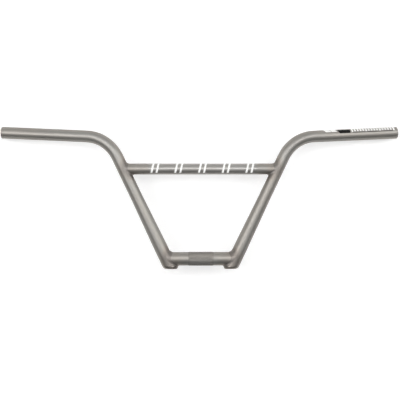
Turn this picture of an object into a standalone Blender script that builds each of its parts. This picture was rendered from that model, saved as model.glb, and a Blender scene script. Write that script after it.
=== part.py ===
"""A BMX handlebar: two bent and tapered side tubes, a crossbar and a clamp tube, welded together.

The origin is the middle of the clamp tube. X runs along the clamp tube, the grips sweep
back towards +Y, and the bar rises along +Z.
"""

import math

import bmesh
import bpy
from mathutils import Matrix, Vector

MM = 0.001

# The whole bar
OVERALL_WIDTH = 762 * MM
BAR_DIAMETER = 22.2 * MM
TUBE_WALL = 1.1 * MM
RIM_ROUNDING = 0.3 * MM
BACKSWEEP = math.radians(11)
UPSWEEP = math.radians(3.05)
BEND_RADIUS = 68.5 * MM
BEND_CORNER_HEIGHT = 229.4 * MM

# The legs, which lean outwards and grow wider towards the clamp tube
LEG_LEAN = math.radians(25.56)
LEG_OFFSET = 65.2 * MM
LEG_DIAMETER = 25.4 * MM
TAPER_TOP_HEIGHT = 115 * MM
TAPER_BOTTOM_HEIGHT = 22 * MM

# The closed feet under the clamp tube
FOOT_DROP = 19.2 * MM
FOOT_CAP_HEIGHT = 6.2 * MM
FOOT_ROUNDING = 5.0 * MM
FOOT_SPIGOT = 6 * MM
SPIGOT_CLEARANCE = 0.35 * MM

# The clamp tube
CLAMP_DIAMETER = 25.4 * MM
CLAMP_WALL = 2.0 * MM
KNURL_DIAMETER = 26.2 * MM
KNURL_WIDTH = 43 * MM
KNURL_RAMP = 2.5 * MM

# The crossbar
CROSSBAR_DIAMETER = 20.65 * MM
CROSSBAR_WALL = 0.9 * MM
CROSSBAR_HEIGHT = 169.7 * MM

# The joints
JOINT_GAP = 0.3 * MM
WELD_LIFT = 0.35 * MM
CROSSBAR_WELD = 3.0 * MM
CLAMP_WELD = 4.2 * MM
WELD_EASE = 0.8 * MM

# A bead is wider on top than underneath. It dips like a fillet where the tubes
# meet steeply, and swells a little at the front and back. These are shares of its width.
WELD_TOP_GAIN = 0.2
WELD_DIP = 0.2
WELD_SWELL = 0.32

# How finely round shapes are divided
TUBE_SIDES = 40
BEND_STEPS = 14
WELD_STEPS = 60
WELD_ARC_STEPS = 5

BAR_COLOUR = (0.33, 0.31, 0.285, 1)
WELD_COLOUR = (0.30, 0.285, 0.265, 1)
KNURL_COLOUR = (0.29, 0.275, 0.255, 1)


def clear_scene():
    for item in list(bpy.data.objects):
        bpy.data.objects.remove(item, do_unlink=True)


def collection(name, hidden=False):
    made = bpy.data.collections.new(name)
    bpy.context.scene.collection.children.link(made)
    made.hide_render = hidden
    return made


def metal(name, colour, roughness):
    made = bpy.data.materials.new(name)
    made.use_nodes = True
    shader = made.node_tree.nodes["Principled BSDF"]
    shader.inputs["Base Color"].default_value = colour
    shader.inputs["Metallic"].default_value = 1.0
    shader.inputs["Roughness"].default_value = roughness
    made.diffuse_color = colour
    return made


class Leg:
    """The straight part of one side tube. side is -1 on the left and 1 on the right."""

    def __init__(self, side):
        self.side = side
        self.foot = Vector((side * LEG_OFFSET, 0, 0))
        self.up = Vector((side * math.sin(LEG_LEAN), 0, math.cos(LEG_LEAN)))
        self.inward = Vector((-side * math.cos(LEG_LEAN), 0, math.sin(LEG_LEAN)))

    def at_height(self, height):
        return self.foot + self.up * (height / self.up.z)

    def on_surface(self, radius, angle, along):
        """A point on a tube of this radius, at an angle from the inner side."""
        across = self.inward * math.cos(angle) + Vector((0, math.sin(angle), 0))
        return self.foot + self.up * along + across * radius

    def surface_place(self, point):
        """The angle from the inner side and the distance along the leg of a point."""
        offset = point - self.foot
        return math.atan2(offset.y, offset.dot(self.inward)), offset.dot(self.up)


def side_path(leg, foot_height):
    """Points and radii along a side tube, from a height on the leg to the grip's end."""
    grip = Vector(
        (
            leg.side * math.cos(BACKSWEEP) * math.cos(UPSWEEP),
            math.sin(BACKSWEEP) * math.cos(UPSWEEP),
            math.sin(UPSWEEP),
        )
    )
    corner = leg.at_height(BEND_CORNER_HEIGHT)
    turn = leg.up.angle(grip)
    tangent = BEND_RADIUS * math.tan(turn / 2)
    bend_start = corner - leg.up * tangent
    centre = corner + (grip - leg.up).normalized() * BEND_RADIUS / math.cos(turn / 2)
    axis = leg.up.cross(grip).normalized()
    spoke = bend_start - centre
    tip_x = OVERALL_WIDTH / 2 - BAR_DIAMETER / 2 * math.sin(BACKSWEEP)
    tip = corner + grip * ((tip_x - abs(corner.x)) / abs(grip.x))
    points = [
        (leg.at_height(foot_height), LEG_DIAMETER / 2),
        (leg.at_height(TAPER_BOTTOM_HEIGHT), LEG_DIAMETER / 2),
        (leg.at_height(TAPER_TOP_HEIGHT), BAR_DIAMETER / 2),
    ]
    for step in range(BEND_STEPS + 1):
        swing = Matrix.Rotation(turn * step / BEND_STEPS, 3, axis)
        points.append((centre + swing @ spoke, BAR_DIAMETER / 2))
    points.append((tip, BAR_DIAMETER / 2))
    return points


def mesh_object(name, mesh, home, material=None):
    made = bpy.data.objects.new(name, mesh)
    home.objects.link(made)
    if material:
        mesh.materials.clear()
        mesh.materials.append(material)
    return made


def smooth(mesh):
    mesh.polygons.foreach_set("use_smooth", [True] * len(mesh.polygons))
    mesh.set_sharp_from_angle(angle=math.radians(35))


def swept_mesh(name, path, grow, capped):
    """A round tube's skin along a path of points and radii, made wider by grow."""
    guide = bpy.data.curves.new(name + "_guide", "CURVE")
    guide.dimensions = "3D"
    guide.fill_mode = "FULL"
    guide.bevel_depth = 1.0
    guide.bevel_resolution = (TUBE_SIDES - 4) // 2
    guide.use_fill_caps = capped
    spline = guide.splines.new("POLY")
    spline.points.add(len(path) - 1)
    for place, (point, radius) in zip(spline.points, path):
        place.co = (point.x, point.y, point.z, 1)
        place.radius = radius + grow
    holder = bpy.data.objects.new(name + "_guide", guide)
    bpy.context.scene.collection.objects.link(holder)
    bpy.context.view_layer.update()
    graph = bpy.context.evaluated_depsgraph_get()
    mesh = bpy.data.meshes.new_from_object(holder.evaluated_get(graph))
    bpy.data.objects.remove(holder, do_unlink=True)
    shape = bmesh.new()
    shape.from_mesh(mesh)
    bmesh.ops.remove_doubles(shape, verts=shape.verts, dist=0.00001)
    bmesh.ops.recalc_face_normals(shape, faces=shape.faces)
    shape.to_mesh(mesh)
    shape.free()
    return mesh


def hollow(item, wall):
    shell = item.modifiers.new("Wall", "SOLIDIFY")
    shell.thickness = wall
    shell.offset = -1
    shell.use_even_offset = True
    return shell


def round_rims(item, width):
    rim = item.modifiers.new("Rims", "BEVEL")
    rim.width = width
    rim.segments = 2
    rim.limit_method = "ANGLE"
    rim.angle_limit = math.radians(60)


def boolean(item, other, operation):
    cut = item.modifiers.new(operation.title(), "BOOLEAN")
    cut.operation = operation
    cut.object = other
    cut.solver = "EXACT"


def even_shading(item):
    """Lets the long walls set the shading where a cut end meets them."""
    shading = item.modifiers.new("Shading", "WEIGHTED_NORMAL")
    shading.weight = 100
    shading.keep_sharp = True


def box(name, low, high, home):
    shape = bmesh.new()
    bmesh.ops.create_cube(shape, size=1)
    size = Vector(high) - Vector(low)
    middle = (Vector(high) + Vector(low)) / 2
    bmesh.ops.scale(shape, vec=size, verts=shape.verts)
    bmesh.ops.translate(shape, vec=middle, verts=shape.verts)
    mesh = bpy.data.meshes.new(name)
    shape.to_mesh(mesh)
    shape.free()
    made = mesh_object(name, mesh, home)
    made.display_type = "WIRE"
    made.hide_render = True
    return made


def leg_cutter(name, leg, home):
    """The room that a leg and its joint gap take up, to cut a saddle from a tube's end."""
    made = mesh_object(
        name, swept_mesh(name, side_path(leg, -2 * FOOT_DROP), JOINT_GAP, True), home
    )
    made.display_type = "WIRE"
    made.hide_render = True
    return made


def foot_box(name, low, high, leg, home):
    middle = leg.at_height(-FOOT_DROP).x
    reach = 1.5 * LEG_DIAMETER
    return box(
        name, (middle - reach, -reach, low), (middle + reach, reach, high), home
    )


def side_tube(name, leg, home, cutters, material):
    made = mesh_object(
        name, swept_mesh(name, side_path(leg, -2 * FOOT_DROP), 0, False), home, material
    )
    smooth(made.data)
    hollow(made, TUBE_WALL)
    round_rims(made, RIM_ROUNDING)
    top = -FOOT_DROP + FOOT_CAP_HEIGHT + JOINT_GAP
    boolean(made, foot_box(name + "_foot_cut", -4 * FOOT_DROP, top, leg, cutters), "DIFFERENCE")
    even_shading(made)
    return made


def slanted_disc(shape, leg, radius, low, high):
    """A short piece of a round bar along the leg, cut level at two heights."""
    rings = []
    for height in (low, high):
        ring = []
        for step in range(TUBE_SIDES):
            turn = 2 * math.pi * step / TUBE_SIDES
            point = leg.on_surface(radius, turn, 0)
            point += leg.up * ((height - point.z) / leg.up.z)
            ring.append(shape.verts.new(point))
        rings.append(ring)
    for step in range(TUBE_SIDES):
        after = (step + 1) % TUBE_SIDES
        shape.faces.new((rings[0][step], rings[0][after], rings[1][after], rings[1][step]))
    bottom = shape.faces.new(rings[0])
    top = shape.faces.new(rings[1])
    return bottom, top


def foot_cap(name, leg, home, material):
    """A rounded lid over the leg's end, with a spigot that sits inside the tube."""
    shape = bmesh.new()
    lid_top = -FOOT_DROP + FOOT_CAP_HEIGHT
    bottom, top = slanted_disc(shape, leg, LEG_DIAMETER / 2, -FOOT_DROP, lid_top)
    bmesh.ops.recalc_face_normals(shape, faces=shape.faces)
    bmesh.ops.bevel(
        shape,
        geom=list(bottom.edges),
        offset=FOOT_ROUNDING,
        offset_type="OFFSET",
        segments=5,
        profile=0.5,
        affect="EDGES",
    )
    spigot_shrink = TUBE_WALL + SPIGOT_CLEARANCE
    bmesh.ops.inset_individual(shape, faces=[top], thickness=spigot_shrink, depth=0)
    raised = bmesh.ops.extrude_face_region(shape, geom=[top])
    moved = [part for part in raised["geom"] if isinstance(part, bmesh.types.BMVert)]
    bmesh.ops.translate(shape, vec=leg.up * (FOOT_SPIGOT / leg.up.z), verts=moved)
    bmesh.ops.delete(shape, geom=[top], context="FACES_ONLY")
    bmesh.ops.recalc_face_normals(shape, faces=shape.faces)
    mesh = bpy.data.meshes.new(name)
    shape.to_mesh(mesh)
    shape.free()
    made = mesh_object(name, mesh, home, material)
    smooth(mesh)
    return made


def turned_tube(name, profile, home, material):
    """A tube along X from pairs of distance along it and radius, turned about X."""
    shape = bmesh.new()
    corners = [shape.verts.new((along, 0, radius)) for along, radius in profile]
    edges = [
        shape.edges.new((corners[i], corners[(i + 1) % len(corners)]))
        for i in range(len(corners))
    ]
    bmesh.ops.spin(
        shape,
        geom=corners + edges,
        cent=(0, 0, 0),
        axis=(1, 0, 0),
        angle=2 * math.pi,
        steps=TUBE_SIDES,
        use_merge=True,
    )
    bmesh.ops.recalc_face_normals(shape, faces=shape.faces)
    mesh = bpy.data.meshes.new(name)
    shape.to_mesh(mesh)
    shape.free()
    made = mesh_object(name, mesh, home, material)
    smooth(mesh)
    return made


def crossbar(legs_room, home, material):
    half = LEG_OFFSET + CROSSBAR_HEIGHT * math.tan(LEG_LEAN)
    outer = CROSSBAR_DIAMETER / 2
    inner = outer - CROSSBAR_WALL
    profile = [(-half, outer), (half, outer), (half, inner), (-half, inner)]
    made = turned_tube("crossbar", profile, home, material)
    made.location = (0, 0, CROSSBAR_HEIGHT)
    for room in legs_room:
        boolean(made, room, "DIFFERENCE")
    even_shading(made)
    return made


def clamp_tube(legs_room, home, material):
    half = LEG_OFFSET
    outer = CLAMP_DIAMETER / 2
    inner = outer - CLAMP_WALL
    raised = KNURL_DIAMETER / 2
    flat = KNURL_WIDTH / 2
    ramp = flat + KNURL_RAMP
    profile = [
        (-half, outer),
        (-ramp, outer),
        (-flat, raised),
        (flat, raised),
        (ramp, outer),
        (half, outer),
        (half, inner),
        (-half, inner),
    ]
    made = turned_tube("clamp_tube", profile, home, material)
    for room in legs_room:
        boolean(made, room, "DIFFERENCE")
    even_shading(made)
    return made


def saddle_point(leg, radius, leg_radius, height, turn):
    """Where the line along a level tube's skin, at this turn from its top, meets the leg."""
    y = radius * math.sin(turn)
    z = height + radius * math.cos(turn)
    chord = math.sqrt(max((leg_radius + WELD_EASE) ** 2 - y**2, 0))
    x = leg.at_height(z).x - leg.side * chord / math.cos(LEG_LEAN)
    return Vector((x, y, z))


def weld_ring(leg, radius, leg_radius, height, size):
    """The cross-sections of a bead that follows the saddle between a level tube and the leg."""
    turns = [2 * math.pi * (step + 0.5) / WELD_STEPS for step in range(WELD_STEPS)]
    saddle = [saddle_point(leg, radius, leg_radius, height, turn) for turn in turns]
    places = [leg.surface_place(point) for point in saddle]
    flat = [Vector((leg_radius * angle, along)) for angle, along in places]
    middle = sum(flat, Vector((0, 0))) / len(flat)
    sections = []
    for step, turn in enumerate(turns):
        before = flat[step - 1]
        after = flat[(step + 1) % WELD_STEPS]
        ahead = (after - before).normalized()
        away = Vector((ahead.y, -ahead.x))
        if away.dot(flat[step] - middle) < 0:
            away = -away
        reach = size * (1 + WELD_TOP_GAIN * math.cos(turn))
        on_leg = flat[step] + away * reach
        toe_leg = leg.on_surface(leg_radius + WELD_LIFT, on_leg.x / leg_radius, on_leg.y)
        level_out = Vector((0, math.sin(turn), math.cos(turn)))
        skin = saddle[step] + level_out * WELD_LIFT
        toe_level = skin - Vector((leg.side * reach, 0, 0))
        angle = places[step][0]
        leg_out = leg.inward * math.cos(angle) + Vector((0, math.sin(angle), 0))
        out = (leg_out + level_out).normalized()
        alike = leg_out.dot(level_out)
        root = saddle[step] + out * WELD_LIFT * math.sqrt(2 / (1 + alike))
        crown = reach * (WELD_SWELL * max(alike, 0) ** 3 - WELD_DIP)
        section = [root]
        for part in range(WELD_ARC_STEPS + 1):
            share = part / WELD_ARC_STEPS
            rise = crown * 4 * share * (1 - share)
            section.append(toe_level.lerp(toe_leg, share) + out * rise)
        sections.append(section)
    return sections


def weld(name, leg, radius, leg_radius, height, size, home, material):
    """A bead lofted through its cross-sections, all the way round the joint."""
    sections = weld_ring(leg, radius, leg_radius, height, size)
    shape = bmesh.new()
    rings = [[shape.verts.new(point) for point in section] for section in sections]
    count = len(rings[0])
    for step, ring in enumerate(rings):
        following = rings[(step + 1) % len(rings)]
        for corner in range(count):
            beyond = (corner + 1) % count
            shape.faces.new(
                (ring[corner], ring[beyond], following[beyond], following[corner])
            )
    bmesh.ops.recalc_face_normals(shape, faces=shape.faces)
    mesh = bpy.data.meshes.new(name)
    shape.to_mesh(mesh)
    shape.free()
    made = mesh_object(name, mesh, home, material)
    smooth(mesh)
    return made


def main():
    clear_scene()
    home = collection("bmx_handlebar")
    cutters = collection("cutters", hidden=True)
    bare = metal("bare_metal", BAR_COLOUR, 0.36)
    knurled = metal("knurled_metal", KNURL_COLOUR, 0.5)
    bead = metal("weld_metal", WELD_COLOUR, 0.42)
    root = bpy.data.objects.new("bar_frame", None)
    home.objects.link(root)
    legs = {"left": Leg(-1), "right": Leg(1)}
    rooms = [leg_cutter(word + "_leg_room", leg, cutters) for word, leg in legs.items()]
    made = [crossbar(rooms, home, bare), clamp_tube(rooms, home, knurled)]
    for word, leg in legs.items():
        made.append(side_tube(word + "_side_tube", leg, home, cutters, bare))
        made.append(foot_cap(word + "_foot_cap", leg, home, bare))
        made.append(
            weld(
                "crossbar_weld_" + word,
                leg,
                CROSSBAR_DIAMETER / 2,
                BAR_DIAMETER / 2,
                CROSSBAR_HEIGHT,
                CROSSBAR_WELD,
                home,
                bead,
            )
        )
        made.append(
            weld(
                "clamp_weld_" + word,
                leg,
                CLAMP_DIAMETER / 2,
                LEG_DIAMETER / 2,
                0,
                CLAMP_WELD,
                home,
                bead,
            )
        )
    for item in made:
        item.parent = root


main()
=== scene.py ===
"""The finished look of a BMX handlebar, built round its packed CAD model.

X runs along the clamp tube, the grips sweep back towards +Y, and the bar rises along +Z.
All lengths are in metres.
"""

import math

import bmesh
import bpy
import numpy as np
from mathutils import Matrix, Vector
from mathutils.kdtree import KDTree


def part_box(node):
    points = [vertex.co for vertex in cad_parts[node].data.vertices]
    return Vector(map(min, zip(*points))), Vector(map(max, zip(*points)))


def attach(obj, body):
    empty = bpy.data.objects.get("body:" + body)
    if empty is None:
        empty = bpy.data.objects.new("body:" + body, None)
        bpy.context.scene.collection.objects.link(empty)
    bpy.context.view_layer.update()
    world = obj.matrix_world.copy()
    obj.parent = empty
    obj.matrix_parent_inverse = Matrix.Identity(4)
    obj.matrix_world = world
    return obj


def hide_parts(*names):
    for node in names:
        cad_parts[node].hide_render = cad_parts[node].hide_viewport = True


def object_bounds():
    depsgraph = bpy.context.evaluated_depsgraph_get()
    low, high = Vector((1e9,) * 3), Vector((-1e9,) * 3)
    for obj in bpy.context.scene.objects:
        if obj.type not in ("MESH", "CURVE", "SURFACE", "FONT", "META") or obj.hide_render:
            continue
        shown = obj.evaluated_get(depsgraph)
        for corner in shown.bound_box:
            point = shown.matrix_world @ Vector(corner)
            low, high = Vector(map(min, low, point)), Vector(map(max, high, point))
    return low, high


bl_info = {
    "name": "BMX handlebar",
    "version": (1, 0, 0),
    "blender": (4, 5, 0),
    "location": "3D View > Sidebar > Handlebar",
    "description": "Builds the tubes, welds, knurl, printed marks and studio of a BMX handlebar",
    "category": "Object",
}

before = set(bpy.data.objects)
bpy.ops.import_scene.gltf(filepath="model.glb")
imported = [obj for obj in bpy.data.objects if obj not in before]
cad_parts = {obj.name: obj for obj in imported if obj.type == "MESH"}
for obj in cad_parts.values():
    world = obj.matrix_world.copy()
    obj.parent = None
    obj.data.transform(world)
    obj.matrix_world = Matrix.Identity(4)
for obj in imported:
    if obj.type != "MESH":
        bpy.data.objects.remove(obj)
CAD_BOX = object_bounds()
CLAMP_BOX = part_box("clamp_tube")
CROSSBAR_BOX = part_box("crossbar")

MM = 0.001
PHOTO_SIDE = 400
SIDES = {"left": -1, "right": 1}
TUBE_SIDES = 96
SHARP = math.radians(35)
KNURL_SHARP = math.radians(24)
CUT_TOLERANCE = 1e-7
PRINT_GAP = 0.02 * MM
FILM_GAP = 0.01 * MM

# Sockets of the shared shader groups that aren't plain numbers
SOCKET_KINDS = {"Place": "NodeSocketVector", "Colour": "NodeSocketColor"}

# Tone and gloss of each metal, and its shares of drawn lines, heat tint with painted shade by the
# welds, and handling marks
METALS = {
    "bare_metal": ("bare_metal", "bare_roughness", 1.0, 0.75, 0.3),
    "foot_metal": ("bare_metal", "foot_roughness", 0.4, 0.75, 0.3),
    "knurled_metal": ("knurled_metal", "knurled_roughness", 0.2, 0.0, 0.2),
    "weld_metal": ("weld_metal", "weld_roughness", 0.0, 0.45, 0.1),
    "clear_film": ("bare_metal", "bare_roughness", 0.6, 0.0, 0.0),
}
# The metals whose grain doesn't follow a tube
OWN_PLACE = ("weld_metal", "clear_film")

# Attributes of the tubes' own meshes
STRAIGHT = "straight_place"
# Nearness to a weld, which sets the heat tint and the painted shade by the joints
HEAT_AND_SHADE = "weld_heat"


def number(name, description, value, **more):
    return bpy.props.FloatProperty(name=name, description=description, default=value, **more)


def length(name, description, value):
    return number(name, description, value, subtype="DISTANCE", unit="LENGTH", precision=5)


def angle(name, description, degrees):
    turn = math.radians(degrees)
    return number(name, description, turn, subtype="ANGLE", unit="ROTATION")


def share(name, description, value):
    return number(name, description, value, min=0, soft_max=1, subtype="FACTOR")


def watts(name, description, value):
    return number(name, description, value, min=0, unit="POWER")


def colour(name, description, value):
    return bpy.props.FloatVectorProperty(
        name=name, description=description, default=value, size=3, min=0, max=1, subtype="COLOR"
    )


class BarSizes(bpy.types.PropertyGroup):
    """Sizes of the tubes and joints"""

    overall_width: length("Overall width", "Grip end to grip end", CAD_BOX[1].x - CAD_BOX[0].x)
    bar_diameter: length("Grip diameter", "Outside of the grips", 22.2 * MM)
    tube_wall: length("Side tube wall", "Wall of the bent side tubes", 1.1 * MM)
    rim_rounding: length("Rim rounding", "Round on the open grip ends", 0.3 * MM)
    backsweep: angle("Backsweep", "How far the grips turn back", 11)
    upsweep: angle("Upsweep", "How far the grips rise", 3.05)
    bend_radius: length("Bend radius", "Centre line radius of the bends", 68.5 * MM)
    corner_height: length("Corner height", "Where leg and grip lines cross", 229.4 * MM)
    leg_lean: angle("Leg lean", "Outward lean of the legs", 25.56)
    leg_offset: length("Leg offset", "Middle to leg, at the clamp tube", 65.2 * MM)
    leg_diameter: length("Leg diameter", "Leg at the clamp tube", 25.4 * MM)
    taper_top: length("Taper top", "Height where the taper starts", 115 * MM)
    taper_bottom: length("Taper bottom", "Height where the taper ends", 22 * MM)
    foot_drop: length("Foot drop", "Clamp axis to the feet", -CAD_BOX[0].z)
    foot_cap: length("Foot cap height", "Height of the closed feet", 6.2 * MM)
    foot_rounding: length("Foot rounding", "Round under the feet", 5 * MM)
    clamp_diameter: length("Clamp diameter", "Smooth ends of the clamp tube", 25.4 * MM)
    clamp_wall: length("Clamp wall", "Wall of the clamp tube", 2 * MM)
    crossbar_diameter: length(
        "Crossbar diameter", "Outside of the crossbar", CROSSBAR_BOX[1].z - CROSSBAR_BOX[0].z
    )
    crossbar_wall: length("Crossbar wall", "Wall of the crossbar", 0.9 * MM)
    crossbar_height: length(
        "Crossbar height", "Clamp axis to crossbar", (CROSSBAR_BOX[0].z + CROSSBAR_BOX[1].z) / 2
    )


class JointSizes(bpy.types.PropertyGroup):
    """Sizes of the knurl and the weld beads"""

    knurl_diameter: length(
        "Knurl diameter", "Over the knurl's points", CLAMP_BOX[1].z - CLAMP_BOX[0].z
    )
    knurl_width: length("Knurl width", "Length of the knurled band", 43 * MM)
    knurl_ramp: length("Knurl ramp", "Run-out beside the knurl", 2.5 * MM)
    knurl_depth: length("Knurl depth", "Point to groove of the knurl", 0.16 * MM)
    knurl_points: bpy.props.IntProperty(
        name="Knurl points", description="Diamonds round the clamp tube", default=68, min=12
    )
    crossbar_weld: length("Crossbar weld", "Leg of the crossbar welds", 3 * MM)
    clamp_weld: length("Clamp weld", "Leg of the clamp welds", 4.2 * MM)
    weld_top_gain: share("Weld top gain", "How much wider the beads are on top", 0.2)
    weld_dip: share("Weld dip", "Hollow of a bead in a steep corner, of its width", 0.2)
    weld_swell: share("Weld swell", "Fullness of a bead on its flat sides, of its width", 0.32)
    # Reach and shares of the heat tint, which also carries the painted shade near the welds' toes
    heat_reach: length("Heat reach", "How far the heat tint runs from a weld", 11 * MM)
    crossbar_heat: share("Crossbar heat", "Heat tint on the crossbar", 0.55)
    clamp_heat: share("Clamp heat", "Heat tint on the clamp tube", 0.45)
    weld_ease: length("Weld ease", "Keeps the beads off the leg's middle", 0.8 * MM)
    weld_sink: length("Weld sink", "How deep the beads' toes sit in", 0.06 * MM)
    weld_root: length("Weld root", "How deep the beads' hidden roots sit in", 0.5 * MM)
    ripple_pitch: length("Ripple pitch", "Step of the weld's ripples", 1.7 * MM)
    ripple_depth: length("Ripple depth", "Height of the weld's ripples", 0.07 * MM)


class PrintSizes(bpy.types.PropertyGroup):
    """Plain printed marks"""

    film_start: length("Film start", "Left end of the clear film", -99 * MM)
    film_end: length("Film end", "Right end of the clear film", 106 * MM)
    film_top: angle("Film top", "Upper edge, from the front", 84)
    film_bottom: angle("Film bottom", "Lower edge, from the front", -64)
    slash_middle: length("Slash middle", "Middle of the five marks", 3.4 * MM)
    slash_pitch: length("Slash pitch", "Step between the marks", 44.7 * MM)
    slash_width: length("Slash width", "Width of one slanted bar", 3.6 * MM)
    slash_gap: length("Slash gap", "Step between a mark's two bars", 9.5 * MM)
    slash_lean: length("Slash lean", "Sideways run of a slanted bar", 4.5 * MM)
    scale_start: length("Scale start", "Grip end to first tick", 8 * MM)
    scale_pitch: length("Scale pitch", "Step of the trim ticks", 5.6 * MM)
    tick_width: length("Tick width", "Width of one trim tick", 3.1 * MM)
    scale_ticks: bpy.props.IntProperty(
        name="Scale ticks", description="Ticks of the trim scale", default=16, min=2
    )
    thickness: length("Print thickness", "Thickness of film and print", 0.05 * MM)


class Finishes(bpy.types.PropertyGroup):
    """Colours and gloss"""

    bare_metal: colour("Bare metal", "Satin raw tube", (0.35, 0.334, 0.313))
    knurled_metal: colour("Knurled metal", "Matt knurled band", (0.305, 0.290, 0.270))
    weld_metal: colour("Weld metal", "Weld beads", (0.30, 0.280, 0.262))
    bare_roughness: share("Bare roughness", "Gloss of the tubes", 0.44)
    foot_roughness: share("Foot roughness", "Gloss of the turned foot caps", 0.3)
    knurled_roughness: share("Knurl roughness", "Gloss of the knurl", 0.5)
    weld_roughness: share("Weld roughness", "Gloss of the beads", 0.45)
    white_print: colour("White print", "Printed bars and ticks", (0.92, 0.92, 0.90))
    black_print: colour("Black print", "Printed block and line", (0.005, 0.005, 0.005))


class StudioSettings(bpy.types.PropertyGroup):
    """Backdrop, light and camera"""

    wall_place: length("Backdrop place", "Backdrop behind the bar", 56 * MM)
    floor_height: length("Floor height", "Height of the floor", -0.30)
    floor_depth: length("Floor depth", "Depth of the floor in front of the backdrop", 2.0)
    sheet_reach: length("Backdrop reach", "Half width of backdrop and floor", 3.0)
    key_power: watts("Key power", "Power of the wide soft box", 12)
    low_power: watts("Low power", "Power of the low soft box", 3)
    left_power: watts("Left power", "Power of the left soft box", 1.5)
    right_power: watts("Right power", "Power of the right soft box", 5.5)
    room_light: share("Room light", "Level of the room", 1.0)
    camera_distance: length("Camera distance", "Eye to the bar", 2.2)
    camera_azimuth: angle("Camera azimuth", "Turn of the camera round the bar", 1.45)
    camera_roll: angle("Camera roll", "Tilt of the camera", -0.06)
    aim_across: length("Aim across", "Where the camera looks, along X", -1.37 * MM)
    aim_height: length("Aim height", "Where the camera looks, along Z", 111.06 * MM)
    pixels_per_metre: number("Pixels per metre", "Scale of the photograph at the bar", 528.96)


# Where things are


class Leg:
    """The straight part of one side tube. side is -1 on the left and 1 on the right."""

    def __init__(self, side):
        sizes = bpy.context.scene.bar_sizes
        self.side = side
        self.lean = sizes.leg_lean
        self.foot = Vector((side * sizes.leg_offset, 0, 0))
        self.up = Vector((side * math.sin(self.lean), 0, math.cos(self.lean)))
        self.inward = Vector((-side * math.cos(self.lean), 0, math.sin(self.lean)))
        flat = math.cos(sizes.upsweep)
        out, back = side * math.cos(sizes.backsweep), math.sin(sizes.backsweep)
        self.grip = Vector((out * flat, back * flat, math.sin(sizes.upsweep)))
        self.corner = self.at_height(sizes.corner_height)
        half_end = sizes.bar_diameter / 2 * math.sin(sizes.backsweep)
        tip_x = sizes.overall_width / 2 - half_end
        self.tip = self.corner + self.grip * (tip_x - abs(self.corner.x)) / abs(self.grip.x)

    def at_height(self, height):
        return self.foot + self.up * (height / self.up.z)

    def on_surface(self, radius, turn, along):
        """A point on a tube of this radius, turned from the inner side."""
        across = self.inward * math.cos(turn) + Vector((0, math.sin(turn), 0))
        return self.foot + self.up * along + across * radius

    def surface_place(self, point):
        """The turn from the inner side and the distance along the leg of a point."""
        offset = point - self.foot
        return math.atan2(offset.y, offset.dot(self.inward)), offset.dot(self.up)

    def cope(self, point, radius):
        """How far along X a level line through the point runs before it meets the leg."""
        chord = math.sqrt(max(radius**2 - point.y**2, 0))
        return self.at_height(point.z).x - self.side * chord / math.cos(self.lean)


def leg_radius(height):
    sizes = bpy.context.scene.bar_sizes
    part = (sizes.taper_top - height) / (sizes.taper_top - sizes.taper_bottom)
    part = min(max(part, 0), 1)
    return (sizes.bar_diameter + (sizes.leg_diameter - sizes.bar_diameter) * part) / 2


def side_stations(leg):
    """Centre, direction and radius of each ring of a side tube, from below the foot to the tip."""
    sizes = bpy.context.scene.bar_sizes
    ring_step = 3 * MM
    bend_steps = 36
    grip_steps = 24
    turn = leg.up.angle(leg.grip)
    tangent = sizes.bend_radius * math.tan(turn / 2)
    bend_start = leg.corner - leg.up * tangent
    middle_way = (leg.grip - leg.up).normalized()
    centre = leg.corner + middle_way * sizes.bend_radius / math.cos(turn / 2)
    axis = leg.up.cross(leg.grip).normalized()
    spoke = bend_start - centre
    low = -2 * sizes.foot_drop
    count = math.ceil((bend_start.z - low) / ring_step)
    heights = [low + (bend_start.z - low) * step / count for step in range(count)]
    stations = [(leg.at_height(height), leg.up, leg_radius(height)) for height in heights]
    for step in range(bend_steps + 1):
        swing = Matrix.Rotation(turn * step / bend_steps, 3, axis)
        stations.append((centre + swing @ spoke, swing @ leg.up, sizes.bar_diameter / 2))
    bend_end = stations[-1][0]
    for step in range(1, grip_steps + 1):
        place = bend_end.lerp(leg.tip, step / grip_steps)
        stations.append((place, leg.grip, sizes.bar_diameter / 2))
    return stations


# Mesh tools


def drawn_out(shape, edges):
    """Extrudes a chain of edges. Gives its new vertices and its new edges."""
    made = bmesh.ops.extrude_edge_only(shape, edges=edges)["geom"]
    verts = [part for part in made if isinstance(part, bmesh.types.BMVert)]
    fresh = set(verts)
    chain = [
        part
        for part in made
        if isinstance(part, bmesh.types.BMEdge) and fresh.issuperset(part.verts)
    ]
    return verts, chain


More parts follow.
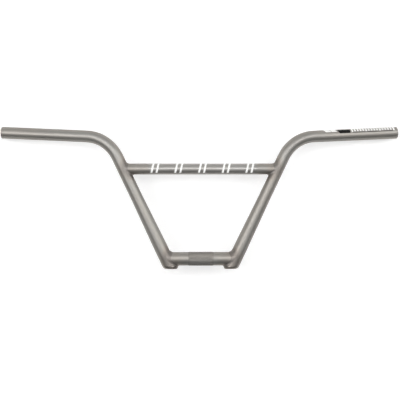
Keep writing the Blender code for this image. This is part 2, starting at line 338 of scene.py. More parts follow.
class Sweep:
    """A tube's skin, drawn out ring by ring from a circle.

    Each vertex remembers its place on the same tube laid out straight along X.
    """

    def __init__(self, centre, direction, radius, sides=TUBE_SIDES):
        self.shape = bmesh.new()
        self.straight = self.shape.verts.layers.float_vector.new(STRAIGHT)
        self.heat = self.shape.verts.layers.float.new(HEAT_AND_SHADE)
        self.centre = Vector(centre)
        self.direction = Vector(direction)
        self.radius = radius
        self.along = 0.0
        turn = self.direction.to_track_quat("Z", "Y").to_matrix().to_4x4()
        place = Matrix.Translation(self.centre) @ turn
        made = bmesh.ops.create_circle(self.shape, segments=sides, radius=radius, matrix=place)
        self.verts = made["verts"]
        self.edges = list({edge for vert in self.verts for edge in vert.link_edges})
        local = turn.inverted().to_3x3()
        for vert in self.verts:
            offset = local @ (vert.co - self.centre)
            vert[self.straight] = (0, offset.x, offset.y)

    def reach(self, centre, direction, radius):
        """Draws the last ring out to a new place, direction and radius."""
        self.verts, self.edges = drawn_out(self.shape, self.edges)
        turn = self.direction.rotation_difference(direction).to_matrix()
        bmesh.ops.rotate(self.shape, cent=self.centre, matrix=turn, verts=self.verts)
        bmesh.ops.translate(self.shape, vec=centre - self.centre, verts=self.verts)
        grow = radius / self.radius
        bmesh.ops.scale(
            self.shape, vec=(grow,) * 3, space=Matrix.Translation(-centre), verts=self.verts
        )
        ahead = (centre - self.centre).dot(self.direction + direction)
        self.along += math.copysign((centre - self.centre).length, ahead)
        for vert in self.verts:
            place = vert[self.straight]
            vert[self.straight] = (self.along, place.y * grow, place.z * grow)
        self.centre = centre.copy()
        self.direction = Vector(direction)
        self.radius = radius

    def warm(self, heat_and_shade_tree, strength=1.0):
        """Marks how near each vertex is to a weld, for its heat tint and for the painted shade by
        the joint.
        """
        reach = bpy.context.scene.joint_sizes.heat_reach
        for vert in self.shape.verts:
            away = heat_and_shade_tree.find(vert.co)[2]
            vert[self.heat] = strength * math.exp(-((away / reach) ** 2))


def cut_level(shape, height, keep):
    """Cuts a shape off at a height. keep is 1 for the part above and -1 for the part below."""
    bmesh.ops.bisect_plane(
        shape,
        geom=shape.verts[:] + shape.edges[:] + shape.faces[:],
        dist=CUT_TOLERANCE,
        plane_co=(0, 0, height),
        plane_no=(0, 0, keep),
        clear_inner=True,
    )


def close_wall(shape):
    """Bridges the two open rims that are left of a tube's outer and inner skin."""
    rims = [edge for edge in shape.edges if edge.is_boundary]
    bmesh.ops.bridge_loops(shape, edges=rims)


def soften(shape, edges, width, segments):
    bmesh.ops.bevel(
        shape,
        geom=edges,
        offset=width,
        segments=segments,
        profile=0.5,
        affect="EDGES",
        material=-1,
    )


def scene_object(name, data):
    made = bpy.data.objects.new(name, data)
    bpy.context.scene.collection.objects.link(made)
    return made


def mesh_object(name, shape, materials):
    """Turns a bmesh into an object at the origin."""
    mesh = bpy.data.meshes.new(name)
    shape.to_mesh(mesh)
    shape.free()
    for material in materials:
        mesh.materials.append(material)
    return scene_object(name, mesh)


def finish_piece(name, shape, materials, replaced=(), sharp=SHARP):
    """Turns a bmesh into a piece that rides on the bar."""
    bmesh.ops.recalc_face_normals(shape, faces=shape.faces)
    piece = mesh_object(name, shape, materials)
    piece.data.shade_smooth()
    piece.data.set_sharp_from_angle(angle=sharp)
    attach(piece, "root")
    if replaced:
        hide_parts(*replaced)


# Tubes


def side_tube(word, heat_and_shade_tree):
    """A bent, tapered, hollow side tube, open at the grip and cut level above its foot cap."""
    sizes = bpy.context.scene.bar_sizes
    leg = Leg(SIDES[word])
    stations = side_stations(leg)
    tube = Sweep(*stations[0])
    for station in stations[1:]:
        tube.reach(*station)
    rim = list(tube.edges)
    inner_rings = stations[::4]
    for centre, direction, radius in [stations[-1], *reversed(inner_rings)]:
        tube.reach(centre, direction, radius - sizes.tube_wall)
        if len(rim) == TUBE_SIDES:
            rim += tube.edges
    shape = tube.shape
    soften(shape, rim, sizes.rim_rounding, segments=3)
    cut_level(shape, -sizes.foot_drop + sizes.foot_cap, keep=1)
    close_wall(shape)
    tube.warm(heat_and_shade_tree)
    replaced = (word + "_side_tube",)
    finish_piece("bent_tube_" + word, shape, [metal("bare_metal")], replaced)


def foot_cap(word, heat_and_shade_tree):
    """The closed, rounded end under a leg."""
    sizes = bpy.context.scene.bar_sizes
    leg = Leg(SIDES[word])
    radius = sizes.leg_diameter / 2
    tube = Sweep(leg.at_height(-2 * sizes.foot_drop), leg.up, radius)
    tube.reach(leg.at_height(0), leg.up, radius)
    shape = tube.shape
    cut_level(shape, -sizes.foot_drop, keep=1)
    cut_level(shape, -sizes.foot_drop + sizes.foot_cap, keep=-1)
    bmesh.ops.holes_fill(shape, edges=[edge for edge in shape.edges if edge.is_boundary])
    bmesh.ops.recalc_face_normals(shape, faces=shape.faces)
    # Of all faces, only the two lids have more than four corners.
    lids = [face for face in shape.faces if len(face.verts) > 4]
    bottom, top = sorted(lids, key=lambda face: face.calc_center_median().z)
    seam_rounding = 0.08 * MM
    soften(shape, list(top.edges), seam_rounding, segments=1)
    soften(shape, list(bottom.edges), sizes.foot_rounding, segments=8)
    tube.warm(heat_and_shade_tree)
    replaced = (word + "_foot_cap",)
    finish_piece("foot_" + word, shape, [metal("foot_metal")], replaced)


def level_tube(stations, wall, height, joint_radius, sides):
    """A hollow level tube whose ends are coped round the legs.

    stations are pairs of distance along X and radius, for the rings between the two ends.
    """
    sizes = bpy.context.scene.bar_sizes
    across = Vector((1, 0, 0))
    reach = sizes.leg_offset + height * math.tan(sizes.leg_lean)
    end_radius = stations[0][1]
    tube = Sweep((-reach, 0, height), across, end_radius, sides)
    coped = list(tube.verts)
    for along, radius in [*stations, (reach, end_radius)]:
        tube.reach(Vector((along, 0, height)), across, radius)
    coped += tube.verts
    for along in (reach, stations[-1][0], stations[0][0], -reach):
        tube.reach(Vector((along, 0, height)), across, end_radius - wall)
        if abs(along) == reach:
            coped += tube.verts
    for vert in coped:
        leg = Leg(math.copysign(1, vert.co.x))
        vert.co.x = leg.cope(vert.co, joint_radius)
        place = vert[tube.straight]
        vert[tube.straight] = (vert.co.x, place.y, place.z)
    close_wall(tube.shape)
    return tube


def crossbar(heat_and_shade_tree):
    sizes = bpy.context.scene.bar_sizes
    radius = sizes.crossbar_diameter / 2
    joint = leg_radius(sizes.crossbar_height)
    saddle_room = 2.4 * joint
    clear = sizes.leg_offset + sizes.crossbar_height * math.tan(sizes.leg_lean) - saddle_room
    rings = 64
    stations = [(clear * (2 * step / rings - 1), radius) for step in range(rings + 1)]
    tube = level_tube(stations, sizes.crossbar_wall, sizes.crossbar_height, joint, TUBE_SIDES)
    tube.warm(heat_and_shade_tree, bpy.context.scene.joint_sizes.crossbar_heat)
    finish_piece("crossbar_tube", tube.shape, [metal("bare_metal")], ("crossbar",))


def knurl_rise(along):
    """How far the knurled band has risen at a place along the clamp tube, from 0 to 1."""
    joints = bpy.context.scene.joint_sizes
    part = (joints.knurl_width / 2 + joints.knurl_ramp - abs(along)) / joints.knurl_ramp
    part = min(max(part, 0), 1)
    return part * part * (3 - 2 * part)


def knurl(shape, run_out, grid):
    """Lowers every other vertex of the band's grid and folds it into diamonds.

    grid holds the row and column of each vertex.
    """
    joints = bpy.context.scene.joint_sizes
    low = [vert for vert, (row, column) in grid.items() if (row + column) % 2]
    for vert in low:
        out = Vector((0, vert.co.y, vert.co.z))
        vert.co -= out.normalized() * joints.knurl_depth * knurl_rise(vert.co.x)
    bmesh.ops.connect_verts(shape, verts=low)
    for face in shape.faces:
        if abs(face.calc_center_median().x) < run_out and face.normal.length:
            face.material_index = 1


def clamp_tube(heat_and_shade_tree):
    """The clamp tube, with smooth ends and a raised, diamond-knurled band."""
    sizes = bpy.context.scene.bar_sizes
    joints = bpy.context.scene.joint_sizes
    plain = sizes.clamp_diameter / 2
    raised = joints.knurl_diameter / 2
    columns = joints.knurl_points * 2
    pitch = math.pi * joints.knurl_diameter / columns
    run_out = joints.knurl_width / 2 + joints.knurl_ramp
    rows = 2 * round(run_out / pitch)
    step = 2 * run_out / rows
    saddle_room = 1.5 * plain
    clear = sizes.leg_offset - saddle_room
    end_rings = 6
    ends = [clear - (clear - run_out) * ring / end_rings for ring in range(end_rings)]
    band = [row * step - run_out for row in range(rows + 1)]
    stations = [(-along, plain) for along in ends]
    stations += [(along, plain + (raised - plain) * knurl_rise(along)) for along in band]
    stations += [(along, plain) for along in reversed(ends)]
    tube = level_tube(stations, sizes.clamp_wall, 0, plain, columns)
    mid_wall = plain - sizes.clamp_wall / 2
    grid = {}
    for vert in tube.shape.verts:
        away = math.hypot(vert.co.y, vert.co.z)
        if abs(vert.co.x) < run_out - step / 2 and away > mid_wall:
            turn = math.atan2(vert.co.z, vert.co.y) / (2 * math.pi / columns)
            grid[vert] = (round((vert.co.x + run_out) / step), round(turn * 2) // 2)
    knurl(tube.shape, run_out, grid)
    tube.warm(heat_and_shade_tree, joints.clamp_heat)
    finish_piece(
        "knurled_clamp_tube",
        tube.shape,
        [metal("bare_metal"), metal("knurled_metal")],
        ("clamp_tube",),
        sharp=KNURL_SHARP,
    )


# Welds


def saddle_point(leg, radius, joint_radius, height, turn):
    """Where the line along a level tube's skin, at this turn from its top, meets the leg."""
    ease = bpy.context.scene.joint_sizes.weld_ease
    point = Vector((0, radius * math.sin(turn), height + radius * math.cos(turn)))
    point.x = leg.cope(point, joint_radius + ease)
    return point


def even_turns(leg, radius, joint_radius, height):
    """Turns round a level tube that step evenly along the saddle, and the number of ripples."""
    joints = bpy.context.scene.joint_sizes
    fine_steps = 720
    fine = np.linspace(0, 2 * math.pi, fine_steps + 1)
    points = [saddle_point(leg, radius, joint_radius, height, turn) for turn in fine]
    lengths = [(after - before).length for before, after in zip(points, points[1:])]
    travelled = np.cumsum([0, *lengths])
    ripples = round(travelled[-1] / joints.ripple_pitch)
    rings_per_ripple = 6
    rings = np.arange(ripples * rings_per_ripple) + 0.5
    wanted = travelled[-1] * rings / len(rings)
    return np.interp(wanted, travelled, fine).tolist(), ripples


def weld_sections(leg, radius, joint_radius, height, size):
    """Cross-sections of a rippled bead, from its hidden root to both toes, round the saddle."""
    joints = bpy.context.scene.joint_sizes
    arc_steps = 10
    ripple_bow = 0.9
    sink = joints.weld_sink
    turns, ripples = even_turns(leg, radius, joint_radius, height)
    saddle = [saddle_point(leg, radius, joint_radius, height, turn) for turn in turns]
    places = [leg.surface_place(point) for point in saddle]
    flat = [Vector((joint_radius * turn, along)) for turn, along in places]
    middle = sum(flat, Vector((0, 0))) / len(flat)
    sections = []
    for step, turn in enumerate(turns):
        ahead = (flat[(step + 1) % len(flat)] - flat[step - 1]).normalized()
        away = Vector((ahead.y, -ahead.x))
        if away.dot(flat[step] - middle) < 0:
            away = -away
        reach = size * (1 + joints.weld_top_gain * math.cos(turn))
        on_leg = flat[step] + away * reach
        toe_leg = leg.on_surface(joint_radius - sink, on_leg.x / joint_radius, on_leg.y)
        level_out = Vector((0, math.sin(turn), math.cos(turn)))
        toe_level = saddle[step] - level_out * sink - Vector((leg.side * reach, 0, 0))
        inner_turn = places[step][0]
        leg_out = leg.inward * math.cos(inner_turn) + Vector((0, math.sin(inner_turn), 0))
        out = (leg_out + level_out).normalized()
        alike = max(leg_out.dot(level_out), 0)
        crown = reach * (joints.weld_swell * alike**3 - joints.weld_dip)
        section = [saddle[step] - out * joints.weld_root]
        for part in range(arc_steps + 1):
            across = part / arc_steps
            hump = 4 * across * (1 - across)
            phase = ripples * (step + 0.5) / len(turns) + ripple_bow * hump
            ripple = joints.ripple_depth * abs(math.sin(math.pi * phase)) * hump
            section.append(toe_level.lerp(toe_leg, across) + out * (crown * hump + ripple))
        sections.append(section)
    return sections


def weld_jobs():
    """Names and cross-sections of the four beads."""
    sizes = bpy.context.scene.bar_sizes
    joints = bpy.context.scene.joint_sizes
    level = {
        "crossbar": (
            sizes.crossbar_diameter / 2,
            leg_radius(sizes.crossbar_height),
            sizes.crossbar_height,
            joints.crossbar_weld,
        ),
        "clamp": (sizes.clamp_diameter / 2, sizes.leg_diameter / 2, 0, joints.clamp_weld),
    }
    jobs = {}
    for tube, measures in level.items():
        for word, side in SIDES.items():
            jobs[tube, word] = weld_sections(Leg(side), *measures)
    return jobs


def toe_tree(jobs):
    """All the weld toes, to find how near a place is to a weld."""
    rings = [ring for sections in jobs.values() for ring in sections]
    # A ring starts at its hidden root. The arc after it runs from one toe to the other.
    toes = [point for ring in rings for point in (ring[1], ring[-1])]
    tree = KDTree(len(toes))
    for index, point in enumerate(toes):
        tree.insert(point, index)
    tree.balance()
    return tree


def weld_bead(tube, word, sections):
    """Draws a cross-section out round the joint and closes it on itself."""
    shape = bmesh.new()
    first = corners = [shape.verts.new(point) for point in sections[0]]
    edges = [shape.edges.new(pair) for pair in zip(corners, corners[1:] + corners[:1])]
    for section in sections[1:] + sections[:1]:
        fresh, edges = drawn_out(shape, edges)
        follow = {}
        for vert in fresh:
            old = next(e.other_vert(vert) for e in vert.link_edges if e not in edges)
            follow[old] = vert
        corners = [follow[old] for old in corners]
        for vert, place in zip(corners, section):
            vert.co = place
    bmesh.ops.weld_verts(shape, targetmap=dict(zip(corners, first)))
    name = "bead_" + tube + "_" + word
    replaced = (tube + "_weld_" + word,)
    finish_piece(name, shape, [metal("weld_metal")], replaced)


# Print


def wrapped_flake(shape, radius, near, far, low, high, near_lean=0.0, far_lean=0.0):
    """A thin flake that lies round a tube along X, between two turns up from its front.

    The leans are how far its near and far ends run along X on the way up.
    """
    step_angle = math.radians(4)
    steps = max(2, math.ceil((high - low) / step_angle))
    place = Matrix.Rotation(-low, 3, "X") @ Vector((0, -radius, 0))
    ends = [shape.verts.new(place + Vector((along, 0, 0))) for along in (near, far)]
    edges = [shape.edges.new(ends)]
    turn = Matrix.Rotation(-(high - low) / steps, 3, "X")
    for _ in range(steps):
        fresh, edges = drawn_out(shape, edges)
        bmesh.ops.rotate(shape, cent=(0, 0, 0), matrix=turn, verts=fresh)
        fresh.sort(key=lambda vert: vert.co.x)
        for vert, lean in zip(fresh, (near_lean, far_lean)):
            bmesh.ops.translate(shape, vec=(lean / steps, 0, 0), verts=[vert])


def print_piece(name, shape, place, material):
    """Gives the flakes their thickness and lays them on the tube."""
    thickness = bpy.context.scene.print_sizes.thickness
    made = bmesh.ops.extrude_face_region(shape, geom=shape.faces[:], use_keep_orig=True)
    for part in made["geom"]:
        if isinstance(part, bmesh.types.BMVert):
            part.co += Vector((0, part.co.y, part.co.z)).normalized() * thickness
    bmesh.ops.transform(shape, matrix=place, verts=shape.verts)
    finish_piece(name, shape, [material])


def crossbar_print():
    """A clear film with five plain pairs of slanted bars."""
    sizes = bpy.context.scene.bar_sizes
    marks = bpy.context.scene.print_sizes
    place = Matrix.Translation((0, 0, sizes.crossbar_height))
    radius = sizes.crossbar_diameter / 2 + PRINT_GAP
    film = bmesh.new()
    wrapped_flake(
        film, radius, marks.film_start, marks.film_end, marks.film_bottom, marks.film_top
    )
    print_piece("clear_film", film, place, clear_film())
    bars = bmesh.new()
    over = radius + marks.thickness + FILM_GAP
    low, high = math.radians(-44), math.radians(72)
    lean = marks.slash_lean
    five_marks = range(-2, 3)
    for mark in five_marks:
        middle = marks.slash_middle + mark * marks.slash_pitch - lean / 2
        for side in (-0.5, 0.5):
            near = middle + side * marks.slash_gap - marks.slash_width / 2
            far = near + marks.slash_width
            wrapped_flake(bars, over, near, far, low, high, lean, lean)
    print_piece("slanted_bars", bars, place, printed("white_print"))


def grip_place(leg):
    """A frame whose X runs along the grip from its tip, with -Y towards the camera's side."""
    back = leg.grip.cross(Vector((0, 0, 1))).normalized() * -leg.side
    up = leg.grip.cross(back).normalized() * leg.side
    across = leg.grip * leg.side
    turn = Matrix((across, back, up)).transposed().to_4x4()
    return Matrix.Translation(leg.tip) @ turn


def grip_print():
    """A plain trim scale, with a white and a black block beside it."""
    sizes = bpy.context.scene.bar_sizes
    marks = bpy.context.scene.print_sizes
    leg = Leg(SIDES["right"])
    place = grip_place(leg)
    radius = sizes.bar_diameter / 2 + PRINT_GAP
    lean = -4.6 * MM

    # Places run back from the grip's end, and turns run up from the front.
    white = bmesh.new()
    top = math.radians(86)
    long_tick_step = 5
    for tick in range(marks.scale_ticks):
        near = -marks.scale_start - tick * marks.scale_pitch - marks.tick_width / 2
        low = math.radians(33 if tick % long_tick_step else 28)
        wrapped_flake(white, radius, near, near + marks.tick_width, low, top)
    white_blocks = ((-145.2 * MM, -134.3 * MM), (-133.2 * MM, -122.4 * MM))
    for near, far in white_blocks:
        wrapped_flake(white, radius, near, far, math.radians(37), top, lean, lean)
    print_piece("trim_scale", white, place, printed("white_print"))

    black = bmesh.new()
    block = (-117.8 * MM, -96.4 * MM, math.radians(18), math.radians(64))
    line = (-92 * MM, -10 * MM, math.radians(20), math.radians(26))
    wrapped_flake(black, radius, *block, lean)
    wrapped_flake(black, radius, *line)
    print_piece("black_block", black, place, printed("black_print"))


# Materials


def add_node(tree, kind, **settings):
    node = tree.nodes.new(kind)
    for name, value in settings.items():
        setattr(node, name, value)
    return node


def feed(tree, inputs, values):
    """Links or sets the inputs, which the values name or number."""
    for key, value in values.items():
        if isinstance(value, bpy.types.NodeSocket):
            tree.links.new(value, inputs[key])
        else:
            inputs[key].default_value = value


def fed(tree, kind, output, inputs, **settings):
    """Adds a node, feeds its inputs and gives one of its outputs."""
    node = add_node(tree, "ShaderNode" + kind, **settings)
    feed(tree, node.inputs, inputs)
    return node.outputs[output]


def noise(tree, place, scale, detail, turn=(0, 0, 0)):
    """Noise over a place that is turned and scaled, to stretch the pattern."""
    stretch = {"Vector": place, "Rotation": turn, "Scale": scale}
    stretched = fed(tree, "Mapping", "Vector", stretch)
    return fed(tree, "TexNoise", "Fac", {"Vector": stretched, "Scale": 1.0, "Detail": detail})


def math_node(tree, operation, *values, clamp=False):
    inputs = dict(enumerate(values))
    return fed(tree, "Math", "Value", inputs, operation=operation, use_clamp=clamp)


def scaled(tree, value, factor, plus=0.0):
    """The value times the factor, plus something."""
    return math_node(tree, "MULTIPLY_ADD", value, factor, plus)


def spread(tree, value, low, high, to_low=0.0, to_high=1.0):
    """The value, moved from one range into another and held inside it."""
    inputs = dict(enumerate((value, low, high, to_low, to_high)))
    return fed(tree, "MapRange", "Result", inputs)


def blended(tree, kind, amount, first, second):
    """Two colours mixed, multiplied or otherwise blended."""
    # Inputs 6 and 7 and output 2 are the node's sockets for colours.
    inputs = {0: amount, 6: first, 7: second}
    return fed(tree, "Mix", 2, inputs, data_type="RGBA", blend_type=kind)


def grey(tree, level):
    parts = dict.fromkeys(("Red", "Green", "Blue"), level)
    return fed(tree, "CombineColor", "Color", parts)


def colour_ramp(tree, value, stops):
    """Colours picked by the value. The stops are pairs of position and colour."""
    node = add_node(tree, "ShaderNodeValToRGB")
    feed(tree, node.inputs, {"Fac": value})
    elements = node.color_ramp.elements
    while len(elements) < len(stops):
        elements.new(0.5)
    for element, (position, tone) in zip(elements, stops):
        element.position = position
        element.color = tone
    return node.outputs["Color"]


def relief(tree, height, strength, distance):
    """The normal of a surface with this height."""
    inputs = {"Height": height, "Strength": strength, "Distance": distance}
    return fed(tree, "Bump", "Normal", inputs)


def add_sockets(group, direction, labels):
    for label in labels:
        kind = SOCKET_KINDS.get(label, "NodeSocketFloat")
        group.interface.new_socket(label, in_out=direction, socket_type=kind)


def title(word):
    """A word of this script as Blender shows it."""
    return word.replace("_", " ").capitalize()


def placed_group(tree, build, **values):
    """Puts a shared shader group in a material, feeds its inputs and gives its outputs.

    At its first use, build fills the group and gives what each output shows.
    """
    name = title(build.__name__)
    group = bpy.data.node_groups.get(name)
    if not group:
        group = bpy.data.node_groups.new(name, "ShaderNodeTree")
        add_sockets(group, "INPUT", values)
        shown = build(group, add_node(group, "NodeGroupInput").outputs)
        add_sockets(group, "OUTPUT", shown)
        feed(group, add_node(group, "NodeGroupOutput").inputs, shown)
    node = add_node(tree, "ShaderNodeGroup", node_tree=group)
    feed(tree, node.inputs, values)
    return node.outputs


def satin_grain(group, given):
    """Fine drawn lines along a tube, blasted speckle and slow cloudy change of tone."""
    place = given["Place"]
    drawn = noise(group, place, (45, 2400, 2400), 3)
    speckle = noise(group, place, (1500, 1500, 1500), 2)
    cloud = noise(group, place, (16, 34, 34), 3)
    drift = noise(group, place, (7, 60, 60), 1)
    lines = scaled(group, drawn, given["Lines"])
    level = scaled(group, lines, 0.16, 0.92)
    level = scaled(group, speckle, 0.14, level)
    level = scaled(group, cloud, 0.20, level)
    level = math_node(group, "SUBTRACT", level, 0.17)
    toned = blended(group, "MULTIPLY", 1.0, given["Colour"], grey(group, level))
    cool, warm = (0.98, 1.0, 1.01, 1), (1.01, 0.998, 0.98, 1)
    tint = blended(group, "MIX", spread(group, drift, 0.35, 0.65), cool, warm)
    rough = scaled(group, cloud, 0.14, given["Roughness"])
    rough = scaled(group, lines, 0.10, rough)
    return {
        "Colour": blended(group, "MULTIPLY", 1.0, toned, tint),
        "Roughness": math_node(group, "SUBTRACT", rough, 0.11, clamp=True),
        "Height": scaled(group, speckle, 0.5, scaled(group, lines, 0.7)),
    }


def weld_tint(group, given):
    """The faint straw and violet that heat leaves beside a weld. Near the weld's toes it turns
    much darker: painted shade in the corners of the joint.
    """
    waver = noise(group, given["Place"], (120, 120, 120), 2)
    heat = scaled(group, waver, 0.3, given["Heat"])
    heat = math_node(group, "SUBTRACT", heat, 0.15, clamp=True)
    # The darkest stops, near the welds' toes, are painted shade in the corners of the joints, not
    # tint.
    stops = (
        (0.05, (1, 1, 1, 1)),
        (0.35, (0.98, 0.95, 0.92, 1)),
        (0.6, (0.86, 0.80, 0.775, 1)),
        (0.95, (0.60, 0.565, 0.555, 1)),
    )
    tint = colour_ramp(group, heat, stops)
    return {"Colour": blended(group, "MULTIPLY", given["Amount"], given["Colour"], tint)}


def handling_marks(group, given):
    """Sparse hairline scratches and a few rubbed spots."""
    place = given["Place"]
    masks = []
    for turn, low in (((0.2, 0.5, 0.9), 0.70), ((1.1, 0.3, -0.7), 0.72)):
        scratch = noise(group, place, (90, 2600, 90), 1, turn)
        masks.append(spread(group, scratch, low, low + 0.03))
    both = math_node(group, "MAXIMUM", *masks)
    where = spread(group, noise(group, place, (22, 50, 50), 1), 0.5, 0.62)
    mask = scaled(group, both, where)
    mask = math_node(group, "MULTIPLY", mask, given["Amount"], clamp=True)
    bright = (0.62, 0.60, 0.57, 1)
    return {
        "Colour": blended(group, "MIX", mask, given["Colour"], bright),
        "Roughness": scaled(group, mask, -0.08, given["Roughness"]),
        "Mask": mask,
    }


def new_material(name):
    """A new material, its node tree and its shader."""
    made = bpy.data.materials.new(name)
    made.use_nodes = True
    return made, made.node_tree, made.node_tree.nodes["Principled BSDF"]


def own_place(tree):
    return fed(tree, "TexCoord", "Object", {})


def metal(word):
    """Bare worked metal with grain, heat tint and painted shade by the welds, and handling marks.
    """
    name = title(word)
    if name in bpy.data.materials:
        return bpy.data.materials[name]
    tone, roughness, lines, tint, marks = METALS[word]
    looks = bpy.context.scene.finishes
    made, tree, shader = new_material(name)
    if word in OWN_PLACE:
        place = own_place(tree)
        # One fixed level of heat tint and painted joint shade for pieces that aren't tubes
        heat = 0.75
    else:
        place = fed(tree, "Attribute", "Vector", {}, attribute_name=STRAIGHT)
        heat = fed(tree, "Attribute", "Fac", {}, attribute_name=HEAT_AND_SHADE)
    grain = placed_group(
        tree,
        satin_grain,
        Place=place,
        Colour=(*getattr(looks, tone), 1),
        Roughness=getattr(looks, roughness),
        Lines=lines,
    )
    # Heat tint, darkened near the welds' toes into painted shade of the joints
    heated_and_shaded = placed_group(
        tree, weld_tint, Place=place, Colour=grain["Colour"], Heat=heat, Amount=tint
    )
    worn = placed_group(
        tree,
        handling_marks,
        Place=place,
        Colour=heated_and_shaded["Colour"],
        Roughness=grain["Roughness"],
        Amount=marks,
    )
    height = scaled(tree, worn["Mask"], -0.6, grain["Height"])
    settings = {
        "Base Color": worn["Colour"],
        "Roughness": worn["Roughness"],
        "Metallic": 1.0,
        "Specular Tint": (0.37, 0.35, 0.325, 1),
        "Normal": relief(tree, height, 0.35, 0.02 * MM),
    }
    feed(tree, shader.inputs, settings)
    return made


def clear_film():
    """Clear gloss film over the tube's own metal."""
    made = metal("clear_film")
    gloss = {"Coat Weight": 1.0, "Coat Roughness": 0.04, "Coat IOR": 1.75}
    feed(made.node_tree, made.node_tree.nodes["Principled BSDF"].inputs, gloss)
    return made


def printed(setting):
    """Screen-printed ink, a little thin and dusty in places."""
    name = title(setting)
    if name in bpy.data.materials:
        return bpy.data.materials[name]
    tone = getattr(bpy.context.scene.finishes, setting)
    made, tree, shader = new_material(name)
    place = own_place(tree)
    patchy = noise(tree, place, (900, 900, 900), 3)
    cloud = noise(tree, place, (80, 80, 80), 2)
    thin = grey(tree, scaled(tree, patchy, 0.16, 0.92))
    settings = {
        "Base Color": blended(tree, "MULTIPLY", 1.0, (*tone, 1), thin),
        "Roughness": spread(tree, cloud, 0.3, 0.7, 0.42, 0.58),
        "Specular IOR Level": 0.15,
        "Normal": relief(tree, patchy, 0.2, 0.01 * MM),
    }
    feed(tree, shader.inputs, settings)
    return made


# Studio


def looked_at(tree, rays):
    """1 for what the camera sees, straight or through a clear piece, and else 0."""
    return math_node(tree, "MAXIMUM", rays["Is Camera Ray"], rays["Is Transmission Ray"])


def paper(name, level, glow, see_through):
    """Pale studio paper. It shows near white to the camera and keeps the bar's shadow."""
    made, tree, _ = new_material(name)
    tree.nodes.clear()
    end = add_node(tree, "ShaderNodeOutputMaterial")
    rays = add_node(tree, "ShaderNodeLightPath").outputs
    diffuse = fed(tree, "BsdfDiffuse", "BSDF", {"Color": (level, level, level, 1)})
    seen = math_node(tree, "MAXIMUM", looked_at(tree, rays), rays["Is Glossy Ray"])
    # Far from the bar, the paper fades into the white of the room.
    fade_start, fade_end = 0.8, 1.9
    away = fed(tree, "VectorMath", "Value", {0: own_place(tree)}, operation="LENGTH")
    shine = scaled(tree, seen, spread(tree, away, fade_start, fade_end, glow, 1.0))
    lit = fed(tree, "Emission", "Emission", {"Strength": shine})
    surface = fed(tree, "AddShader", "Shader", {0: diffuse, 1: lit})
    if see_through:
        clear = fed(tree, "BsdfTransparent", "BSDF", {})
        behind = fed(tree, "NewGeometry", "Backfacing", {})
        open_way = math_node(tree, "MAXIMUM", behind, rays["Is Shadow Ray"])
        surface = fed(tree, "MixShader", "Shader", {0: open_way, 1: surface, 2: clear})
    feed(tree, end.inputs, {"Surface": surface})
    return made


def paper_sheet(name, place, half, depth, material):
    """A thin gridded sheet, faced along the place's own Z."""
    shape = bmesh.new()
    reach = place @ Matrix.Diagonal((half, depth, 1, 1))
    bmesh.ops.create_grid(shape, x_segments=8, y_segments=8, size=1, matrix=reach)
    sheet = mesh_object(name, shape, [material])
    return sheet


def studio_world():
    """A plain dim room, brighter in front, that the camera sees as white."""
    level = bpy.context.scene.studio.room_light
    world = bpy.data.worlds.new("Studio room")
    bpy.context.scene.world = world
    world.use_nodes = True
    tree = world.node_tree
    parts = add_node(tree, "ShaderNodeSeparateXYZ")
    feed(tree, parts.inputs, {"Vector": fed(tree, "TexCoord", "Generated", {})})
    # The room's tones, from straight below to straight above
    tones = ((0.0, 0.26), (0.2, 0.27), (0.3, 0.6), (0.4, 0.85), (0.7, 0.85), (1.0, 0.8))
    stops = [(place, (level * tone,) * 3 + (1,)) for place, tone in tones]
    upwards = colour_ramp(tree, spread(tree, parts.outputs["Z"], -1, 1), stops)
    behind_share, side_share = 0.65, 0.55
    front = spread(tree, parts.outputs["Y"], -1, 1, 1.0, behind_share)
    sideways = math_node(tree, "ABSOLUTE", parts.outputs["X"])
    sideways = spread(tree, sideways, 0.25, 0.95, 1.0, side_share)
    front = scaled(tree, front, sideways)
    room = blended(tree, "MIX", front, (0, 0, 0, 1), upwards)
    seen = looked_at(tree, add_node(tree, "ShaderNodeLightPath").outputs)
    shown = blended(tree, "MIX", seen, room, (1, 1, 1, 1))
    feed(tree, tree.nodes["Background"].inputs, {"Color": shown})


def soft_box(name, place, aim, width, height, power):
    lamp = bpy.data.lights.new(name, "AREA")
    lamp.shape = "RECTANGLE"
    lamp.size = width
    lamp.size_y = height
    lamp.energy = power
    turn = (Vector(aim) - Vector(place)).to_track_quat("-Z", "Y").to_matrix().to_4x4()
    scene_object(name, lamp).matrix_world = Matrix.Translation(place) @ turn


def photo_camera():
    """The camera where the photographer's was."""
    setup = bpy.context.scene.studio
    data = bpy.data.cameras.new("Photo camera")
    focal_pixels = setup.pixels_per_metre * setup.camera_distance
    data.lens = focal_pixels * data.sensor_width / PHOTO_SIDE
    camera = scene_object("Photo camera", data)
    camera.matrix_world = (
        Matrix.Translation((setup.aim_across, 0, setup.aim_height))
        @ Matrix.Rotation(-setup.camera_azimuth, 4, "Z")
        @ Matrix.Rotation(math.pi / 2, 4, "X")
        @ Matrix.Rotation(setup.camera_roll, 4, "Z")
        @ Matrix.Translation((0, 0, setup.camera_distance))
    )
    bpy.context.scene.camera = camera


# Operators


class BAR_OT_tubes(bpy.types.Operator):
    """Build the bent side tubes, their feet, the crossbar and the knurled clamp tube"""

    bl_idname = "bar.tubes"
    bl_label = "Tubes"

    def execute(self, context):
        heat_and_shade_tree = toe_tree(weld_jobs())
        for word in SIDES:
            side_tube(word, heat_and_shade_tree)
            foot_cap(word, heat_and_shade_tree)
        crossbar(heat_and_shade_tree)
        clamp_tube(heat_and_shade_tree)
        return {"FINISHED"}


class BAR_OT_welds(bpy.types.Operator):
    """Lay the four rippled weld beads"""

    bl_idname = "bar.welds"
    bl_label = "Weld beads"

    def execute(self, context):
        for (tube, word), sections in weld_jobs().items():
            weld_bead(tube, word, sections)
        return {"FINISHED"}


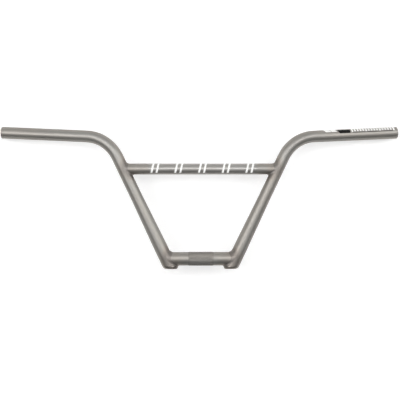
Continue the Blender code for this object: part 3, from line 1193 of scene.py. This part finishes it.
class BAR_OT_crossbar_print(bpy.types.Operator):
    """Lay the clear film and its plain slanted bars on the crossbar"""

    bl_idname = "bar.crossbar_print"
    bl_label = "Crossbar print"

    def execute(self, context):
        crossbar_print()
        return {"FINISHED"}


class BAR_OT_grip_print(bpy.types.Operator):
    """Print the plain trim scale and blocks on the right grip"""

    bl_idname = "bar.grip_print"
    bl_label = "Grip print"

    def execute(self, context):
        grip_print()
        return {"FINISHED"}


class BAR_OT_studio(bpy.types.Operator):
    """Set up the backdrop, floor, soft light and camera"""

    bl_idname = "bar.studio"
    bl_label = "Studio"

    def execute(self, context):
        setup = context.scene.studio
        context.scene.view_settings.view_transform = "Standard"
        half, depth = setup.sheet_reach, setup.floor_depth / 2
        upright = Matrix.Rotation(math.pi / 2, 4, "X")
        wall = Matrix.Translation((0, setup.wall_place, setup.floor_height + half)) @ upright
        paper_sheet("backdrop", wall, half, half, paper("Backdrop paper", 0.8, 0.305, True))
        floor = Matrix.Translation((0, setup.wall_place - depth, setup.floor_height))
        sheet = paper_sheet("floor", floor, half, depth, paper("Floor paper", 0.75, 0.35, False))
        # The undersides of the tubes mirror the dim end of the room, and not the pale floor.
        sheet.visible_glossy = False
        middle = (0, 0, 0.12)
        left_grip = (-0.3, 0, 0.24)
        # Where each soft box stands, where it aims, and its width and height
        soft_boxes = {
            "key": ((0, -1.65, 0.50), middle, 3.2, 0.42),
            "low": ((-1.05, -1.5, 0.12), left_grip, 0.7, 0.4),
            "left": ((-1.55, -1.2, 1.0), middle, 0.9, 0.9),
            "right": ((1.55, -1.2, 1.0), middle, 0.9, 0.9),
        }
        for word, measures in soft_boxes.items():
            soft_box(title(word) + " soft box", *measures, getattr(setup, word + "_power"))
        studio_world()
        photo_camera()
        return {"FINISHED"}


class BAR_PT_sidebar(bpy.types.Panel):
    """Sizes, finishes and building steps of the handlebar"""

    bl_idname = "BAR_PT_sidebar"
    bl_label = "BMX handlebar"
    bl_space_type = "VIEW_3D"
    bl_region_type = "UI"
    bl_category = "Handlebar"

    def draw(self, context):
        for operator in OPERATORS:
            self.layout.operator(operator.bl_idname)
        for attribute, group in SETTINGS.items():
            box = self.layout.box()
            box.label(text=group.__doc__)
            for name in group.__annotations__:
                box.prop(getattr(context.scene, attribute), name)


OPERATORS = (
    BAR_OT_tubes,
    BAR_OT_welds,
    BAR_OT_crossbar_print,
    BAR_OT_grip_print,
    BAR_OT_studio,
)
SETTINGS = {
    "bar_sizes": BarSizes,
    "joint_sizes": JointSizes,
    "print_sizes": PrintSizes,
    "finishes": Finishes,
    "studio": StudioSettings,
}
CLASSES = (*SETTINGS.values(), *OPERATORS, BAR_PT_sidebar)


def register():
    for kind in CLASSES:
        bpy.utils.register_class(kind)
    for attribute, group in SETTINGS.items():
        setattr(bpy.types.Scene, attribute, bpy.props.PointerProperty(type=group))


def unregister():
    for attribute in SETTINGS:
        delattr(bpy.types.Scene, attribute)
    for kind in reversed(CLASSES):
        bpy.utils.unregister_class(kind)


def main():
    register()
    bpy.ops.bar.tubes()
    bpy.ops.bar.welds()
    bpy.ops.bar.crossbar_print()
    bpy.ops.bar.grip_print()
    bpy.ops.bar.studio()


if __name__ == "__main__":
    main()
